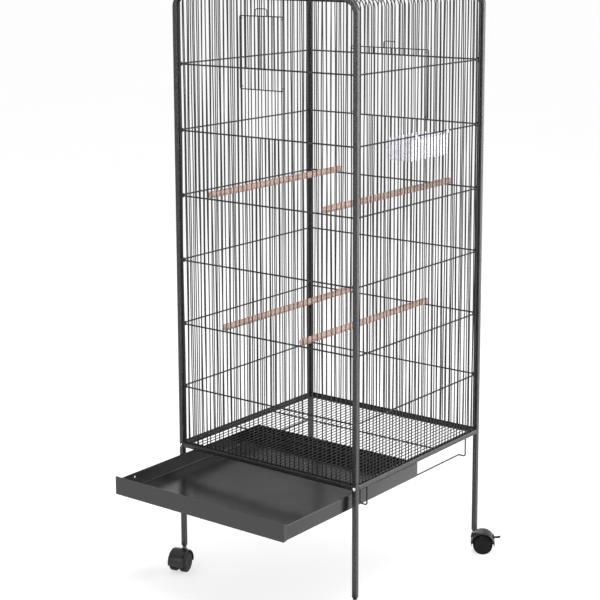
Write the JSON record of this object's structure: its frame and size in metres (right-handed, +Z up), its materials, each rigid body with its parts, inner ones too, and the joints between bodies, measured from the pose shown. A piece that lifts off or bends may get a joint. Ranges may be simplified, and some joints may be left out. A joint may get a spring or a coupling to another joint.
{
  "type": "bird cage on rolling stand",
  "caption": "Tall square wire bird cage built into a tubular rolling stand, with lift doors, floor grate, slide-out tray, perches, hanging feeder and swivel casters.",
  "frame": {"origin": "middle of the footprint with the tray drawn out as stored, on the floor", "axes": "+Z up, -Y towards the front, where the tray draws out and the small lift door is, +X to the right side, where the feeder hangs"},
  "size_m": [0.6506, 0.829, 1.45],
  "materials": {
    "frame_black": "textured powder coat, satin",
    "wire_black": "satin powder coat",
    "tray_grey": "fine matte powder coat",
    "perch_wood": "plain turned wood",
    "feeder_white": "milky satin plastic",
    "bolt_bright": "bright plated",
    "caster_black": "moulded satin",
    "wheel_black": "moulded satin",
    "axle_steel": "plain plated steel"
  },
  "bodies": {
    "stand": {"front_hoop": "frame_black", "back_hoop": "frame_black", "side_bar_left": "frame_black", "side_bar_right": "frame_black", "bolt_front_left": "bolt_bright", "bolt_front_right": "bolt_bright", "bolt_back_left": "bolt_bright", "bolt_back_right": "bolt_bright", "front_panel": "wire_black", "back_panel": "wire_black", "left_panel": "wire_black", "right_panel": "wire_black", "roof_panel": "wire_black", "floor_grate": "wire_black", "grate_bearer_front": "wire_black", "grate_bearer_back": "wire_black", "tray_rail_left": "wire_black", "tray_rail_right": "wire_black", "perch_upper_left": "perch_wood", "perch_upper_right": "perch_wood", "perch_lower_left": "perch_wood", "perch_lower_right": "perch_wood", "feeder_cup": "feeder_white", "caster_front_left_stem": "axle_steel", "caster_front_right_stem": "axle_steel", "caster_back_right_stem": "axle_steel", "caster_back_left_stem": "axle_steel"},
    "front_door": {"front_door": "wire_black", "front_door_clip_lower_left": "wire_black", "front_door_clip_upper_left": "wire_black", "front_door_clip_lower_right": "wire_black", "front_door_clip_upper_right": "wire_black"},
    "back_door": {"back_door": "wire_black", "back_door_clip_lower_left": "wire_black", "back_door_clip_upper_left": "wire_black", "back_door_clip_lower_right": "wire_black", "back_door_clip_upper_right": "wire_black"},
    "tray": {"tray": "tray_grey"},
    "caster_front_left_swivel": {"caster_front_left_hood": "caster_black"},
    "caster_front_left_wheels": {"caster_front_left_wheel_a": "wheel_black", "caster_front_left_wheel_b": "wheel_black", "caster_front_left_axle": "axle_steel"},
    "caster_front_right_swivel": {"caster_front_right_hood": "caster_black"},
    "caster_front_right_wheels": {"caster_front_right_wheel_a": "wheel_black", "caster_front_right_wheel_b": "wheel_black", "caster_front_right_axle": "axle_steel"},
    "caster_back_right_swivel": {"caster_back_right_hood": "caster_black"},
    "caster_back_right_wheels": {"caster_back_right_wheel_a": "wheel_black", "caster_back_right_wheel_b": "wheel_black", "caster_back_right_axle": "axle_steel"},
    "caster_back_right_brake": {"caster_back_right_brake": "caster_black"},
    "caster_back_left_swivel": {"caster_back_left_hood": "caster_black"},
    "caster_back_left_wheels": {"caster_back_left_wheel_a": "wheel_black", "caster_back_left_wheel_b": "wheel_black", "caster_back_left_axle": "axle_steel"},
    "caster_back_left_brake": {"caster_back_left_brake": "caster_black"}
  },
  "joints": [
    {"name": "front_door_lift", "type": "slide", "parent": "stand", "child": "front_door", "axis": [0, 0, 1], "range_m": [-0.1095, 0.02]},
    {"name": "back_door_lift", "type": "slide", "parent": "stand", "child": "back_door", "axis": [0, 0, 1], "range_m": [0, 0.12]},
    {"name": "tray_slide", "type": "slide", "parent": "stand", "child": "tray", "axis": [0, 1, 0], "range_m": [-0.2, 0.244]},
    {"name": "caster_front_left_swivel_turn", "type": "hinge", "parent": "stand", "child": "caster_front_left_swivel", "pos_m": [-0.265, -0.1625, 0.053], "axis": [0, 0, 1], "continuous": true},
    {"name": "caster_front_left_wheel_spin", "type": "hinge", "parent": "caster_front_left_swivel", "child": "caster_front_left_wheels", "pos_m": [-0.25945, -0.18379, 0.0254], "axis": [0.9677, 0.2521, 0], "continuous": true},
    {"name": "caster_front_right_swivel_turn", "type": "hinge", "parent": "stand", "child": "caster_front_right_swivel", "pos_m": [0.265, -0.1625, 0.053], "axis": [0, 0, 1], "continuous": true},
    {"name": "caster_front_right_wheel_spin", "type": "hinge", "parent": "caster_front_right_swivel", "child": "caster_front_right_wheels", "pos_m": [0.27324, -0.1829, 0.0254], "axis": [0.9272, 0.3746, 0], "continuous": true},
    {"name": "caster_back_right_swivel_turn", "type": "hinge", "parent": "stand", "child": "caster_back_right_swivel", "pos_m": [0.265, 0.3675, 0.053], "axis": [0, 0, 1], "continuous": true},
    {"name": "caster_back_right_wheel_spin", "type": "hinge", "parent": "caster_back_right_swivel", "child": "caster_back_right_wheels", "pos_m": [0.28374, 0.37903, 0.0254], "axis": [-0.524, 0.8517, 0], "continuous": true},
    {"name": "caster_back_right_brake_press", "type": "hinge", "parent": "caster_back_right_swivel", "child": "caster_back_right_brake", "pos_m": [0.30461, 0.39187, 0.041], "axis": [-0.524, 0.8517, 0], "range_deg": [0, 14]},
    {"name": "caster_back_left_swivel_turn", "type": "hinge", "parent": "stand", "child": "caster_back_left_swivel", "pos_m": [-0.265, 0.3675, 0.053], "axis": [0, 0, 1], "continuous": true},
    {"name": "caster_back_left_wheel_spin", "type": "hinge", "parent": "caster_back_left_swivel", "child": "caster_back_left_wheels", "pos_m": [-0.28374, 0.37903, 0.0254], "axis": [-0.524, -0.8517, 0], "continuous": true},
    {"name": "caster_back_left_brake_press", "type": "hinge", "parent": "caster_back_left_swivel", "child": "caster_back_left_brake", "pos_m": [-0.30461, 0.39187, 0.041], "axis": [-0.524, -0.8517, 0], "range_deg": [0, 14]}
  ]
}
